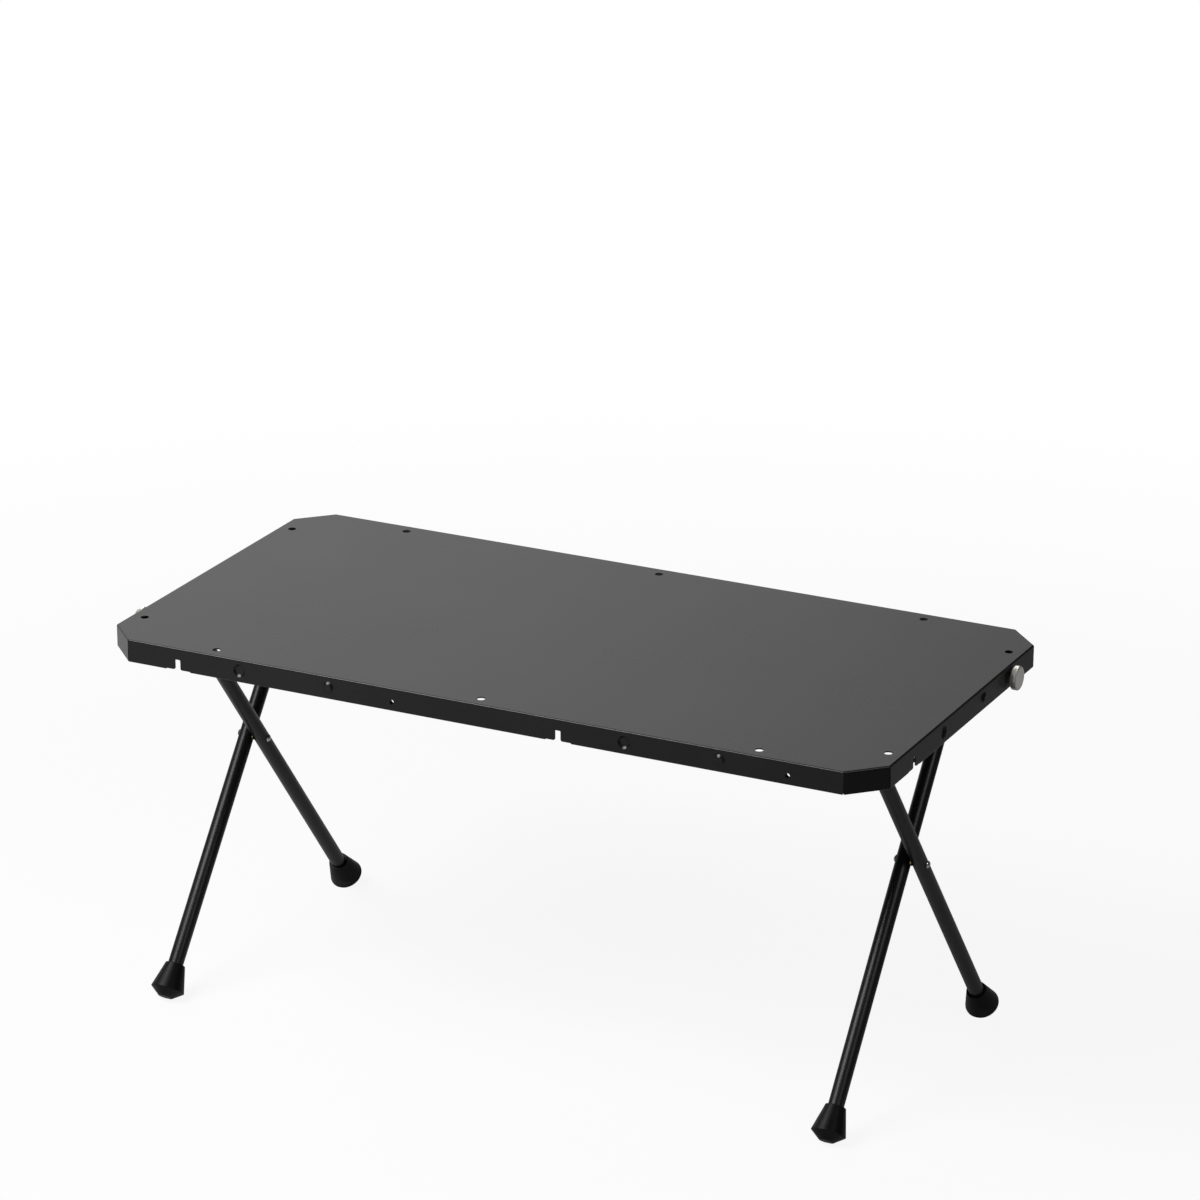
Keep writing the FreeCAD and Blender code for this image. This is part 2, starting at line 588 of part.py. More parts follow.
def make_thumbscrew(end):
    """Knob, stud and retaining clip in the screw hole of one short rim; local Z points out of the rim."""
    place = f"{about_z(END_TURN[end])} * " + spot(
        "-Size.top_length / 2", "-Size.link_reach", f"{TOP_Z} - Size.screw_drop", ALONG_MINUS_X
    )
    disc_face = "(Size.seat_gap + Size.knob_neck)"
    tail = "(Size.sheet + Size.nut_length + Size.stud_tail)"
    bore_end = f"({disc_face} + Size.knob_thick - Size.knob_skin)"
    groove = "(Size.clip_thick + 2 * Size.running_fit)"

    knob = new_body(f"{end}_knob")
    disc = rod(knob, spot(0, 0, disc_face), "Size.knob_dia / 2", "Size.knob_thick")
    rim = sheet.get("knob_dia") / 2
    round_edges(
        knob, disc, "Chamfer", "Size.knob_chamfer",
        lambda edge: isinstance(edge.Curve, Part.Circle) and abs(edge.Curve.Radius - rim) < TINY,
    )
    rod(knob, spot(0, 0, "Size.seat_gap"), "Size.knob_neck_dia / 2", "Size.knob_neck")
    bore(knob, spot(0, 0, 0), STUD_R, bore_end)
    knob.setExpression("Placement", place)

    stud = new_body(f"{end}_stud")
    rod(stud, spot(0, 0, f"-{tail}"), STUD_R, f"{tail} + {bore_end}")
    rod(stud, spot(0, 0, f"-{tail} - {groove}"), "Size.groove_dia / 2", groove)
    rod(stud, spot(0, 0, f"-{tail} - {groove} - Size.stud_button"), STUD_R, "Size.stud_button")
    stud.setExpression("Placement", place)

    clip = new_body(f"{end}_stud_clip")
    clip_floor = spot(0, 0, f"-{tail} - Size.running_fit - Size.clip_thick")
    rod(clip, clip_floor, "Size.clip_dia / 2", "Size.clip_thick")
    bore(clip, clip_floor, "Size.groove_dia / 2 + Size.running_fit", "Size.clip_thick")
    clip.setExpression("Placement", place)


def write_parts():
    """Checks every object, then writes one file for each node."""
    doc.recompute()
    for item in doc.Objects:
        if "Invalid" in item.State or "Error" in item.State:
            raise RuntimeError(f"{item.Name} failed: {item.State}")
    for item in parts:
        if item.Shape.isNull() or not item.Shape.isValid():
            raise RuntimeError(f"{item.Label} has no valid shape")
    os.makedirs("parts", exist_ok=True)
    for item in parts:
        item.Shape.exportStep(f"parts/{item.Label}.step")
        print(f"{item.Label}: {len(item.Shape.Solids)} solid, {item.Shape.Volume:.0f} mm3")


make_table_top()
make_link_nuts()
for end in END_TURN:
    make_rail(end)
    make_head(end, "fixed", INNER_X, -1)
    make_head(end, "sliding", OUTER_X, 1)
    make_leg(end, "inner", INNER_X, -1, "0")
    make_leg(end, "outer", OUTER_X, 1, "Size.running_fit")
    make_pivot(end)
    make_thumbscrew(end)
write_parts()
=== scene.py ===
import math

import bpy
import numpy as np
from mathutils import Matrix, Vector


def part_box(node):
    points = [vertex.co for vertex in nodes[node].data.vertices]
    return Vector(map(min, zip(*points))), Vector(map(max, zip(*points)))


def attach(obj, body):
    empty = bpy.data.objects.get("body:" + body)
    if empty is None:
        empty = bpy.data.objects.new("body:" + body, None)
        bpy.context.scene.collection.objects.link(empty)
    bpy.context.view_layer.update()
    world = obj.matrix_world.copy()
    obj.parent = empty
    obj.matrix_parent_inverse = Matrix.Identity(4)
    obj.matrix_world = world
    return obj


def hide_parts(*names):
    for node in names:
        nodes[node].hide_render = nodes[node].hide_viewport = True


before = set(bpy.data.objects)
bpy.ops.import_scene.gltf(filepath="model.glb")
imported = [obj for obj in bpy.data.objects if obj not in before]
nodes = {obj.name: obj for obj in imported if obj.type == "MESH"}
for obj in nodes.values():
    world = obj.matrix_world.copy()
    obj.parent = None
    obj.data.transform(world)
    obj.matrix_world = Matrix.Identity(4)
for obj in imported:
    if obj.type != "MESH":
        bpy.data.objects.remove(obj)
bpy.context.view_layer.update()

scene = bpy.context.scene


# Camera: a long lens 2.2 m above the floor and 5 m away, looking down on the table from its front right.
# Its place and lens come from fitting the tray's outline and the legs.
# The sizes behind that fit are estimates.
CAMERA_PLACE = (2.1425, -4.2239, 2.1899)
CAMERA_ELEVATION = 20.275
CAMERA_AZIMUTH = 26.571
CAMERA_LENS = 153.22
CAMERA_SENSOR = 36.0
CAMERA_SIGHT = 60.0

lens = bpy.data.cameras.new("studio_camera")
lens.lens = CAMERA_LENS
lens.sensor_width = CAMERA_SENSOR
lens.clip_end = CAMERA_SIGHT
camera = bpy.data.objects.new("studio_camera", lens)
camera.location = CAMERA_PLACE
camera.rotation_euler = (math.radians(90 - CAMERA_ELEVATION), 0.0, math.radians(CAMERA_AZIMUTH))
scene.collection.objects.link(camera)
scene.camera = camera
scene.view_settings.view_transform = "Standard"


# Studio: a pale floor, a dome that is bright behind the table at the left and dim elsewhere, a wide soft
# box overhead at the front left and a small one at the right. The lens sees the floor as near white, with
# its shadows. In reflections the floor is painted dimmer and carries a painted glow, a pool of light that
# is brightest at the left and dark far to the right.
class Shade:
    """One output of a node: arithmetic on it adds Math nodes."""

    def __init__(self, mixer, socket):
        self.mixer = mixer
        self.socket = socket

    def joined(self, operation, first, second):
        return self.mixer.node("ShaderNodeMath", {"operation": operation}, {0: first, 1: second})

    def __add__(self, other):
        return self.joined("ADD", self, other)

    def __sub__(self, other):
        return self.joined("SUBTRACT", self, other)

    def __rsub__(self, other):
        return self.joined("SUBTRACT", other, self)

    def __mul__(self, other):
        return self.joined("MULTIPLY", self, other)

    __radd__ = __add__
    __rmul__ = __mul__


# Sockets of a Mix node that mixes colours, by number, because several share a name.
BLEND_FACTOR, BLEND_FIRST, BLEND_SECOND, BLEND_RESULT = 0, 6, 7, 2


class Mixer:
    """Adds nodes to one node tree."""

    def __init__(self, tree):
        self.tree = tree

    def node(self, kind, settings, inputs, output=0):
        """Adds a node of a kind, sets its settings, then its sockets' values or links; gives one output."""
        item = self.tree.nodes.new(kind)
        for setting, value in settings.items():
            setattr(item, setting, value)
        for socket, value in inputs.items():
            if isinstance(value, Shade):
                self.tree.links.new(value.socket, item.inputs[socket])
            else:
                item.inputs[socket].default_value = value
        return Shade(self, item.outputs[output])

    def smooth(self, value, low, high):
        """Eases a value from 0 at low to 1 at high."""
        limits = {"Value": value, "From Min": low, "From Max": high}
        return self.node("ShaderNodeMapRange", {"interpolation_type": "SMOOTHSTEP"}, limits)

    def blend(self, factor, first, second):
        """Mixes two colours."""
        inputs = {BLEND_FACTOR: factor, BLEND_FIRST: first, BLEND_SECOND: second}
        return self.node("ShaderNodeMix", {"data_type": "RGBA"}, inputs, BLEND_RESULT)


WHITE = (1.0, 1.0, 1.0, 1.0)
DOME_BRIGHT = 0.98
DOME_DARK = 0.08
BRIGHT_SIDE = (-0.68, 0.64, 0.35)
BRIGHT_FROM, BRIGHT_FULL = 0.82, 0.97

world = bpy.data.worlds.new("studio_dome")
scene.world = world
world.use_nodes = True
dome = Mixer(world.node_tree)
background = world.node_tree.nodes["Background"]
heading = dome.node("ShaderNodeTexCoord", {}, {}, "Generated")
sides = {0: heading, 1: BRIGHT_SIDE}
facing = dome.node("ShaderNodeVectorMath", {"operation": "DOT_PRODUCT"}, sides, "Value")
seen = dome.node("ShaderNodeLightPath", {}, {}, "Is Camera Ray")
level = DOME_DARK + (DOME_BRIGHT - DOME_DARK) * dome.smooth(facing, BRIGHT_FROM, BRIGHT_FULL)
dome.tree.links.new((seen + (1.0 - seen) * level).socket, background.inputs["Strength"])
background.inputs["Color"].default_value = WHITE

FLOOR_HALF = 20.0
FLOOR_SEEN = (0.93, 0.93, 0.93, 1.0)
FLOOR_MIRRORED = (0.20, 0.20, 0.20, 1.0)
FLOOR_GLOW = 0.90
FAR_FROM, FAR_FULL = 0.7, 2.2
# The glow that only reflections see is a painted pool of light, brightest at the left.
LEFT_GLOW, LEFT_FULL, LEFT_FROM = 0.32, -0.9, 0.1
MIDDLE_GLOW, MIDDLE_FULL, MIDDLE_FROM = 0.18, 0.45, 1.15

floor_mesh = bpy.data.meshes.new("studio_floor")
half = FLOOR_HALF
floor_corners = [(-half, -half, 0), (half, -half, 0), (half, half, 0), (-half, half, 0)]
floor_mesh.from_pydata(floor_corners, [], [(0, 1, 2, 3)])
floor = bpy.data.objects.new("studio_floor", floor_mesh)
scene.collection.objects.link(floor)
floor_paint = bpy.data.materials.new("floor_paint")
floor_paint.use_nodes = True
paper = Mixer(floor_paint.node_tree)
floor_seen = paper.node("ShaderNodeLightPath", {}, {}, "Is Camera Ray")
mirrored = paper.node("ShaderNodeLightPath", {}, {}, "Is Glossy Ray")
spot = paper.node("ShaderNodeTexCoord", {}, {}, "Object")
away = paper.node("ShaderNodeVectorMath", {"operation": "LENGTH"}, {0: spot}, "Value")
near_glow = FLOOR_GLOW + (1.0 - FLOOR_GLOW) * paper.smooth(away, FAR_FROM, FAR_FULL)
along = paper.node("ShaderNodeSeparateXYZ", {}, {"Vector": spot}, "X")
left_glow = LEFT_GLOW * (1.0 - paper.smooth(along, LEFT_FULL, LEFT_FROM))
middle_glow = MIDDLE_GLOW * (1.0 - paper.smooth(along, MIDDLE_FULL, MIDDLE_FROM))
glow_share = floor_seen * near_glow + mirrored * (left_glow + middle_glow)
floor_colour = paper.blend(mirrored, FLOOR_SEEN, FLOOR_MIRRORED)
dull = paper.node("ShaderNodeBsdfDiffuse", {}, {"Color": floor_colour})
glow = paper.node("ShaderNodeEmission", {}, {"Color": WHITE, "Strength": 1.0})
sheet = paper.node("ShaderNodeMixShader", {}, {0: glow_share, 1: dull, 2: glow})
surface = paper.tree.nodes["Material Output"].inputs["Surface"]
paper.tree.links.new(sheet.socket, surface)
floor_mesh.materials.append(floor_paint)

LAMP_TARGET = (0.0, 0.0, 0.3)
FRONT_BOX_PLACE = (-1.25, -1.35, 2.5)
FRONT_BOX_WIDTH, FRONT_BOX_HEIGHT = 2.0, 1.2
FRONT_BOX_POWER = 72.0
RIGHT_BOX_PLACE = (2.25, -1.0, 2.0)
RIGHT_BOX_SIDE = 0.8
RIGHT_BOX_POWER = 8.0


def soft_box(name, place, width, height, power):
    """Area lamp at place, facing LAMP_TARGET."""
    lamp = bpy.data.lights.new(name, "AREA")
    lamp.shape = "RECTANGLE"
    lamp.size = width
    lamp.size_y = height
    lamp.energy = power
    box = bpy.data.objects.new(name, lamp)
    back = np.array(place) - np.array(LAMP_TARGET)
    spread = math.hypot(back[0], back[1])
    box.location = place
    box.rotation_euler = (math.atan2(spread, back[2]), 0.0, math.atan2(back[0], -back[1]))
    scene.collection.objects.link(box)


soft_box("front_soft_box", FRONT_BOX_PLACE, FRONT_BOX_WIDTH, FRONT_BOX_HEIGHT, FRONT_BOX_POWER)
soft_box("right_soft_box", RIGHT_BOX_PLACE, RIGHT_BOX_SIDE, RIGHT_BOX_SIDE, RIGHT_BOX_POWER)


# Folded tray: one sheet of mild steel, bent down on eight sides and powder coated black.
# The coat is satin, with a fine baked grain; it is a little thinner and smoother along the bends.
TRAY_BLACK = (0.0036, 0.0036, 0.0037, 1.0)
TRAY_DUSTY = (0.0070, 0.0069, 0.0067, 1.0)
TRAY_SPECULAR = 0.40
TRAY_CLOUD, TRAY_PEEL, TRAY_GRAIN = 7.0, 320.0, 1400.0
DUSTY_FROM, DUSTY_FULL = 0.35, 0.68
TRAY_ROUGHNESS, CLOUD_DULLS, GRAIN_DULLS, BEND_SHINES = 0.20, 0.08, 0.04, 0.08
GRAIN_RISE, PEEL_RISE = 0.6, 0.8
TRAY_RELIEF = 0.00008
BEND_DEPTH = 0.0018


def coat(name, fixed):
    """New material: a Principled shader with fixed socket values, and a mixer for the rest."""
    paint = bpy.data.materials.new(name)
    paint.use_nodes = True
    shader = paint.node_tree.nodes["Principled BSDF"]
    for socket, value in fixed.items():
        shader.inputs[socket].default_value = value
    mixer = Mixer(paint.node_tree)
    mixer.shader = shader
    mixer.paint = paint
    mixer.place = mixer.node("ShaderNodeTexCoord", {}, {}, "Object")
    return mixer


def noise(mixer, scale, detail, place=None):
    """Cloudy pattern of a size given as cells per metre."""
    inputs = {"Vector": place or mixer.place, "Scale": scale, "Detail": detail}
    return mixer.node("ShaderNodeTexNoise", {}, inputs, "Fac")


def stretched(mixer, factors):
    """Object coordinates multiplied along each axis."""
    return mixer.node("ShaderNodeMapping", {}, {"Vector": mixer.place, "Scale": factors})


def finish(mixer, colour, roughness, height, relief):
    """Feeds colour and roughness to the shader, and height times relief in metres as bumps."""
    bumps = {"Strength": 1.0, "Distance": relief, "Height": height}
    normal = mixer.node("ShaderNodeBump", {}, bumps, "Normal")
    for socket, value in (("Base Color", colour), ("Roughness", roughness), ("Normal", normal)):
        mixer.tree.links.new(value.socket, mixer.shader.inputs[socket])
    return mixer.paint


def wear(paint, *names):
    """Puts a material on CAD nodes."""
    for name in names:
        for place in nodes[name].material_slots:
            place.material = paint


def powder_coat(name, edge_height):
    """Baked powder: a cloud shifts the black, grain and orange peel make the bumps.

    The bend just below edge_height is smoother.
    """
    mix = coat(name, {"Specular IOR Level": TRAY_SPECULAR})
    cloud = noise(mix, TRAY_CLOUD, detail=4.0)
    peel = noise(mix, TRAY_PEEL, detail=1.0)
    grain = noise(mix, TRAY_GRAIN, detail=2.0)
    height = mix.node("ShaderNodeSeparateXYZ", {}, {"Vector": mix.place}, "Z")
    start = mix.smooth(height, edge_height - BEND_DEPTH, edge_height - BEND_DEPTH / 2)
    bend = start * (1.0 - mix.smooth(height, edge_height - BEND_DEPTH / 4, edge_height))
    colour = mix.blend(mix.smooth(cloud, DUSTY_FROM, DUSTY_FULL), TRAY_BLACK, TRAY_DUSTY)
    roughness = TRAY_ROUGHNESS + CLOUD_DULLS * cloud + GRAIN_DULLS * grain - BEND_SHINES * bend
    return finish(mix, colour, roughness, grain * GRAIN_RISE + peel * PEEL_RISE, TRAY_RELIEF)


tray_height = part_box("table_top")[1][2]
wear(powder_coat("tray_powder_coat", tray_height), "table_top")


# Rails, their rings and the discs in the feet: mild steel in bright zinc.
# The rails are round bars held by the brackets, and each ring keeps a fixed head in its place on the rail.
# A disc lies under the lower end of each leg, so that the thin tube doesn't cut through the rubber.
ENDS = ("left", "right")
ZINC_DULL = (0.46, 0.47, 0.50, 1.0)
ZINC_PALE = (0.66, 0.67, 0.68, 1.0)
ZINC_SPANGLE, ZINC_LINES = 260.0, 900.0
ALONG_RAIL = (1.0, 0.08, 1.0)
ZINC_ROUGHNESS, SPANGLE_DULLS, LINES_DULL = 0.26, 0.18, 0.08
ZINC_RELIEF = 0.00004


def zinc(name):
    """Bright zinc: pale blue-grey metal with soft spangle and fine drawn lines."""
    mix = coat(name, {"Metallic": 1.0})
    spangle = noise(mix, ZINC_SPANGLE, detail=3.0)
    drawn = noise(mix, ZINC_LINES, detail=2.0, place=stretched(mix, ALONG_RAIL))
    colour = mix.blend(spangle, ZINC_DULL, ZINC_PALE)
    roughness = ZINC_ROUGHNESS + SPANGLE_DULLS * spangle + LINES_DULL * drawn
    return finish(mix, colour, roughness, drawn, ZINC_RELIEF)


zinc_steel = zinc("zinc_steel")
for end in ENDS:
    wear(zinc_steel, f"{end}_rail", f"{end}_rail_collar")
    wear(zinc_steel, f"{end}_inner_foot_disc", f"{end}_outer_foot_disc")


# Rail brackets and link nuts: bent strips welded under the tray and hexagon nuts welded inside its rim.
# Both went through the oven with the tray, so they have its powder.
bracket_coat = powder_coat("bracket_powder_coat", tray_height)
wear(bracket_coat, "link_nuts")
for end in ENDS:
    wear(bracket_coat, f"{end}_fixed_side_bracket", f"{end}_sliding_side_bracket")


# Heads and tube plugs: black glass-filled nylon, moulded, with the dull mottle of the filling.
# The heads turn on the rails and hold the top pins; the plugs are pressed into the upper ends of the legs.
NYLON_BLACK = (0.012, 0.012, 0.012, 1.0)
NYLON_PALE = (0.024, 0.024, 0.024, 1.0)
NYLON_SPECULAR = 0.4
NYLON_MOTTLE, NYLON_SKIN = 420.0, 2200.0
NYLON_ROUGHNESS, MOTTLE_DULLS = 0.48, 0.16
NYLON_RELIEF = 0.00006


def nylon(name):
    """Moulded nylon: dull black with pale fibre mottle and a spark-eroded skin."""
    mix = coat(name, {"Specular IOR Level": NYLON_SPECULAR})
    mottle = noise(mix, NYLON_MOTTLE, detail=4.0)
    skin = noise(mix, NYLON_SKIN, detail=1.0)
    colour = mix.blend(mottle, NYLON_BLACK, NYLON_PALE)
    return finish(mix, colour, NYLON_ROUGHNESS + MOTTLE_DULLS * mottle, skin, NYLON_RELIEF)


black_nylon = nylon("black_nylon")
for end in ENDS:
    wear(black_nylon, f"{end}_fixed_head", f"{end}_sliding_head")
    wear(black_nylon, f"{end}_inner_top_plug", f"{end}_outer_top_plug")


# Legs: drawn steel tube, painted semi-gloss black, crossed in pairs and riveted where they cross.
# The paint lies in faint runs along the tube and has small specks.
LEG_BLACK = (0.0040, 0.0040, 0.0040, 1.0)
LEG_PALE = (0.0080, 0.0080, 0.0080, 1.0)
LEG_SPECULAR = 0.40
LEG_RUNS, LEG_SPECKS = 60.0, 1500.0
ALONG_LEG = (1.0, 0.3, 0.3)
LEG_ROUGHNESS, RUNS_DULL, SPECKS_DULL = 0.27, 0.10, 0.06
LEG_RELIEF = 0.00003


def leg_paint(name):
    """Semi-gloss paint: slow runs along the tube, fine specks, a smooth skin."""
    mix = coat(name, {"Specular IOR Level": LEG_SPECULAR})
    runs = noise(mix, LEG_RUNS, detail=3.0, place=stretched(mix, ALONG_LEG))
    specks = noise(mix, LEG_SPECKS, detail=1.0)
    colour = mix.blend(runs, LEG_BLACK, LEG_PALE)
    roughness = LEG_ROUGHNESS + RUNS_DULL * runs + SPECKS_DULL * specks
    return finish(mix, colour, roughness, specks, LEG_RELIEF)


black_legs = leg_paint("black_leg_paint")
for end in ENDS:
    wear(black_legs, f"{end}_inner_leg", f"{end}_outer_leg")


# Feet: moulded rubber sleeves, satin, with a fine eroded skin and paler scuffs near the floor.
# Each is pushed over the lower end of a leg and stands on a flat worn at its edge.
RUBBER_BLACK = (0.0025, 0.0025, 0.0025, 1.0)
RUBBER_DUSTY = (0.0050, 0.0050, 0.0050, 1.0)
RUBBER_SCUFFED = (0.030, 0.030, 0.029, 1.0)
RUBBER_SPECULAR = 0.17
RUBBER_DUST, RUBBER_SKIN = 90.0, 1300.0
SCUFF_FULL, SCUFF_END = 0.002, 0.016
SCUFF_DUST_FROM, SCUFF_DUST_FULL = 0.42, 0.66
SCUFF_SHARE = 0.5
RUBBER_ROUGHNESS, DUST_DULLS = 0.31, 0.20
RUBBER_RELIEF = 0.00004


def rubber(name):
    """Satin rubber: eroded skin, dusty cloud, scuffs that fade upward from the floor."""
    mix = coat(name, {"Specular IOR Level": RUBBER_SPECULAR})
    dust = noise(mix, RUBBER_DUST, detail=5.0)
    skin = noise(mix, RUBBER_SKIN, detail=2.0)
    height = mix.node("ShaderNodeSeparateXYZ", {}, {"Vector": mix.place}, "Z")
    low_down = 1.0 - mix.smooth(height, SCUFF_FULL, SCUFF_END)
    scuff = low_down * mix.smooth(dust, SCUFF_DUST_FROM, SCUFF_DUST_FULL)
    body = mix.blend(dust, RUBBER_BLACK, RUBBER_DUSTY)
    colour = mix.blend(scuff * SCUFF_SHARE, body, RUBBER_SCUFFED)
    return finish(mix, colour, RUBBER_ROUGHNESS + DUST_DULLS * dust, skin, RUBBER_RELIEF)


black_rubber = rubber("black_rubber")
for end in ENDS:
    wear(black_rubber, f"{end}_inner_foot", f"{end}_outer_foot")


# Pins, rivets and stud clips: bright steel with faint stains and fine marks.
# The pins join the legs to the heads and the rivets join the crossing legs; both have domed heads.
# The clips sit in grooves of the thumbscrews' studs and keep the screws on the table.
STEEL_DULL = (0.62, 0.61, 0.60, 1.0)
STEEL_PALE = (0.80, 0.79, 0.77, 1.0)
STEEL_STAIN, STEEL_MARKS = 300.0, 2600.0
STEEL_ROUGHNESS, STAIN_DULLS = 0.18, 0.14
STEEL_RELIEF = 0.00003


def bright_steel(name):
    """Turned steel: pale metal, faint stains and fine marks."""
    mix = coat(name, {"Metallic": 1.0})
    stain = noise(mix, STEEL_STAIN, detail=3.0)
    marks = noise(mix, STEEL_MARKS, detail=1.0)
    colour = mix.blend(stain, STEEL_DULL, STEEL_PALE)
    return finish(mix, colour, STEEL_ROUGHNESS + STAIN_DULLS * stain, marks, STEEL_RELIEF)


turned_steel = bright_steel("turned_steel")
for end in ENDS:
    wear(turned_steel, f"{end}_inner_top_pin", f"{end}_outer_top_pin", f"{end}_pivot_rivet")
    wear(turned_steel, f"{end}_stud_clip")


# Spacers between the crossing legs: short turned brass bushes with brown tarnish in patches.
# Each sits on a rivet and keeps the two tubes apart.
BRASS_BRIGHT = (0.78, 0.62, 0.40, 1.0)
BRASS_BROWN = (0.56, 0.40, 0.22, 1.0)
BRASS_TARNISH, BRASS_MARKS = 240.0, 2200.0
BRASS_ROUGHNESS, TARNISH_DULLS = 0.24, 0.20
BRASS_RELIEF = 0.00003


def brass(name):
    """Brass: warm metal with brown tarnish in patches."""
    mix = coat(name, {"Metallic": 1.0})
    tarnish = noise(mix, BRASS_TARNISH, detail=4.0)
    marks = noise(mix, BRASS_MARKS, detail=1.0)
    colour = mix.blend(tarnish, BRASS_BRIGHT, BRASS_BROWN)
    return finish(mix, colour, BRASS_ROUGHNESS + TARNISH_DULLS * tarnish, marks, BRASS_RELIEF)


spacer_brass = brass("spacer_brass")
for end in ENDS:
    wear(spacer_brass, f"{end}_pivot_spacer")


# Thumbscrew knobs: turned aluminium, satin, with straight fine teeth cut round the rim for the fingers.
# A blind hole runs from the neck to just behind the face, and the stud is pressed into it.
OUTWARD = {"left": -1.0, "right": 1.0}
KNOB_NECK, NECK_RADIUS = 0.002, 0.005
KNOB_CHAMFER = 0.0006
KNOB_SKIN = 0.001
BORE_RADIUS = 0.00246
BORE_CENTRE, FACE_CENTRE = 0.0001, 0.0004
RIM_ROWS = 12
KNOB_TEETH = 96
TOOTH_DEPTH = 0.00045
TOOTH_STEPS = 6
TOOTH_LEAST = 0.15
SHARP_EDGE = 34.0
# The face colours are painted light, paler than the metal; the rim colour is painted shade, darker than the
# metal.
FACE_DULL = (0.84, 0.82, 0.78, 1.0)
FACE_PALE = (0.94, 0.92, 0.88, 1.0)
RIM_PAINTED_SHADE = (0.56, 0.545, 0.52, 1.0)
FACE_REACH, RIM_REACH = 0.0109, 0.0115
FACE_METAL = 0.44
KNOB_CLOUD, KNOB_BLAST = 180.0, 3000.0
TURNED_LINES = 3600.0
KNOB_ROUGHNESS, KNOB_CLOUD_DULLS = 0.44, 0.12
LINES_RISE = 0.3
KNOB_RELIEF = 0.00003


def round_bar(node):
    """Inner end on the axis, length and radius of a round CAD node whose axis lies along X."""
    low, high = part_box(node)
    inner_x, outer_x = sorted((low[0], high[0]), key=abs)
    middle = (np.array(low) + np.array(high)) / 2
    return (inner_x, middle[1], middle[2]), abs(outer_x - inner_x), (high[1] - low[1]) / 2


def turned(name, base, outward, heights, radii, paint):
    """Surface of revolution.

    Row i lies at heights[i] from base along outward; column j at angle 2 pi j / columns.
    The distance to the axis is radii[i, j]. A fan to a point on the axis closes the first row and the last.
    """
    rows, columns = radii.shape
    angle = 2 * math.pi * np.arange(columns) / columns
    axis = np.array(outward, float)
    side = np.cross((0.0, 0.0, 1.0), axis)
    round_it = np.cos(angle)[:, None] * side + np.sin(angle)[:, None] * np.cross(axis, side)
    centre = np.array(base) + heights[:, None] * axis
    rings = centre[:, None, :] + radii[:, :, None] * round_it
    points = np.concatenate([rings.reshape(-1, 3), centre[[0, -1]]])
    cell = np.arange((rows - 1) * columns).reshape(rows - 1, columns)
    beside = np.roll(cell, -1, axis=1)
    quads = np.stack([cell, beside, beside + columns, cell + columns], axis=-1).reshape(-1, 4)
    first, last = np.arange(columns), np.arange(columns) + (rows - 1) * columns
    start_fan = np.stack([np.roll(first, -1), first, np.full(columns, rows * columns)], axis=-1)
    end_fan = np.stack([last, np.roll(last, -1), np.full(columns, rows * columns + 1)], axis=-1)
    mesh = bpy.data.meshes.new(name)
    mesh.from_pydata(points.tolist(), [], quads.tolist() + start_fan.tolist() + end_fan.tolist())
    mesh.polygons.foreach_set("use_smooth", np.ones(len(mesh.polygons), bool))
    mesh.set_sharp_from_angle(angle=math.radians(SHARP_EDGE))
    reach = mesh.attributes.new("axis_distance", "FLOAT", "POINT")
    reach.data.foreach_set("value", np.append(radii.reshape(-1), (0.0, 0.0)))
    mesh.materials.append(paint)
    piece = bpy.data.objects.new(name, mesh)
    scene.collection.objects.link(piece)
    return piece


def aluminium(name):
    """Satin aluminium: a blasted face in painted light and a rim in painted shade, told apart by distance
    to the axis.

    A soft cloud shifts the face, and fine turning lines follow the distance to the axis.
    """
    mix = coat(name, {})
    cloud = noise(mix, KNOB_CLOUD, detail=3.0)
    blast = noise(mix, KNOB_BLAST, detail=1.0)
    reach = mix.node("ShaderNodeAttribute", {"attribute_name": "axis_distance"}, {}, "Fac")
    waves = reach * (2 * math.pi * TURNED_LINES)
    lines = mix.node("ShaderNodeMath", {"operation": "SINE"}, {0: waves})
    rim = mix.smooth(reach, FACE_REACH, RIM_REACH)
    # The pale face colour is painted light and the darker rim colour is painted shade.
    face_colour_painted_light = mix.blend(cloud, FACE_DULL, FACE_PALE)
    colour = mix.blend(rim, face_colour_painted_light, RIM_PAINTED_SHADE)
    metal = FACE_METAL + (1.0 - FACE_METAL) * rim
    mix.tree.links.new(metal.socket, mix.shader.inputs["Metallic"])
    roughness = KNOB_ROUGHNESS + KNOB_CLOUD_DULLS * cloud
    return finish(mix, colour, roughness, blast + lines * LINES_RISE, KNOB_RELIEF)


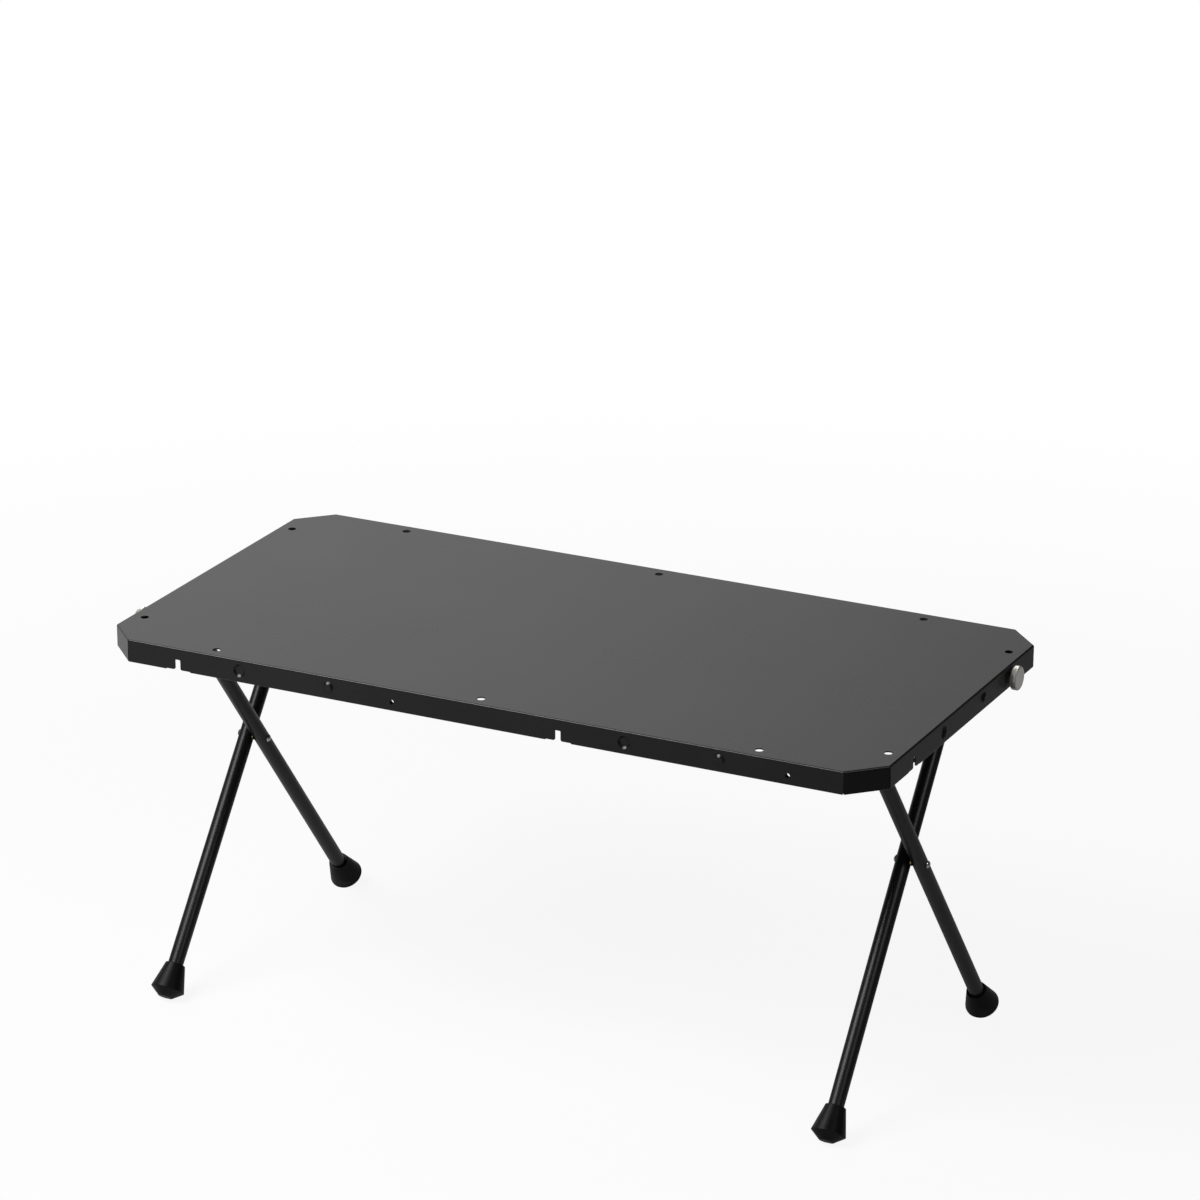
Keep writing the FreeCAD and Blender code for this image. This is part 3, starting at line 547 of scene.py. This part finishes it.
# The rows run from the floor of the hole along it and over the neck and rim to the middle of the face.
# Each tooth takes a triangle wave off the rim's radius, shallow at the rim's two edges.
knob_aluminium = aluminium("knob_aluminium")
for end in ENDS:
    base, length, radius = round_bar(f"{end}_knob")
    rim = np.linspace(KNOB_NECK + KNOB_CHAMFER, length - KNOB_CHAMFER, RIM_ROWS)
    bore_end, shoulder = length - KNOB_SKIN, radius - KNOB_CHAMFER
    heights = np.concatenate([[bore_end, bore_end, 0, 0, KNOB_NECK, KNOB_NECK], rim, [length, length]])
    before_rim = [BORE_CENTRE, BORE_RADIUS, BORE_RADIUS, NECK_RADIUS, NECK_RADIUS, shoulder]
    plain = np.concatenate([before_rim, np.full(RIM_ROWS, radius), [shoulder, FACE_CENTRE]])
    columns = KNOB_TEETH * TOOTH_STEPS
    angle = 2 * math.pi * np.arange(columns) / columns
    valley = 1 - np.abs(((angle * KNOB_TEETH / math.pi) % 2) - 1)
    from_edge = np.minimum(rim - rim[0], rim[-1] - rim)
    cut = np.zeros(len(heights))
    cut[len(before_rim):len(before_rim) + RIM_ROWS] = np.clip(from_edge / KNOB_CHAMFER, TOOTH_LEAST, 1)
    radii = plain[:, None] - TOOTH_DEPTH * cut[:, None] * valley[None, :]
    knob = turned(f"{end}_knurled_knob", base, (OUTWARD[end], 0, 0), heights, radii, knob_aluminium)
    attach(knob, f"{end}_thumbscrew")
    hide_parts(f"{end}_knob")


# Studs of the thumbscrews: bright steel rods with a rolled thread, pressed into the knobs.
# The groove near the inner end takes the clip, and the button beyond it keeps the clip on.
BUTTON_LENGTH, BUTTON_BEVEL = 0.001, 0.0003
GROOVE_LENGTH, GROOVE_RADIUS = 0.0009, 0.0019
THREAD_LENGTH = 0.0125
SCREW_PITCH = 0.0008
THREAD_DEPTH = 0.0004
THREAD_STEPS = 10
STUD_SIDES = 48

# The rows run from the button over the groove and the thread to the plain root.
# The thread takes a triangle wave of height over pitch less the share of a turn off the radius,
# and it fades out over one pitch at both ends.
for end in ENDS:
    base, length, radius = round_bar(f"{end}_stud")
    thread_start = BUTTON_LENGTH + GROOVE_LENGTH
    thread = np.arange(thread_start, thread_start + THREAD_LENGTH, SCREW_PITCH / THREAD_STEPS)
    before_thread = [0, BUTTON_BEVEL, BUTTON_LENGTH, BUTTON_LENGTH, thread_start]
    heights = np.concatenate([before_thread, thread, [thread[-1], length]])
    button_radii = [radius - BUTTON_BEVEL, radius, radius, GROOVE_RADIUS, GROOVE_RADIUS]
    plain = np.concatenate([button_radii, np.full(len(thread) + 2, radius)])
    angle = 2 * math.pi * np.arange(STUD_SIDES) / STUD_SIDES
    turn = (heights[:, None] / SCREW_PITCH - angle[None, :] / (2 * math.pi)) % 1
    from_end = np.minimum(thread - thread[0], thread[-1] - thread)
    fade = np.zeros(len(heights))
    fade[len(before_thread):len(before_thread) + len(thread)] = np.clip(from_end / SCREW_PITCH, 0, 1)
    radii = plain[:, None] - THREAD_DEPTH * fade[:, None] * (1 - np.abs(2 * turn - 1))
    stud = turned(f"{end}_threaded_stud", base, (OUTWARD[end], 0, 0), heights, radii, turned_steel)
    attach(stud, f"{end}_thumbscrew")
    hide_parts(f"{end}_stud")
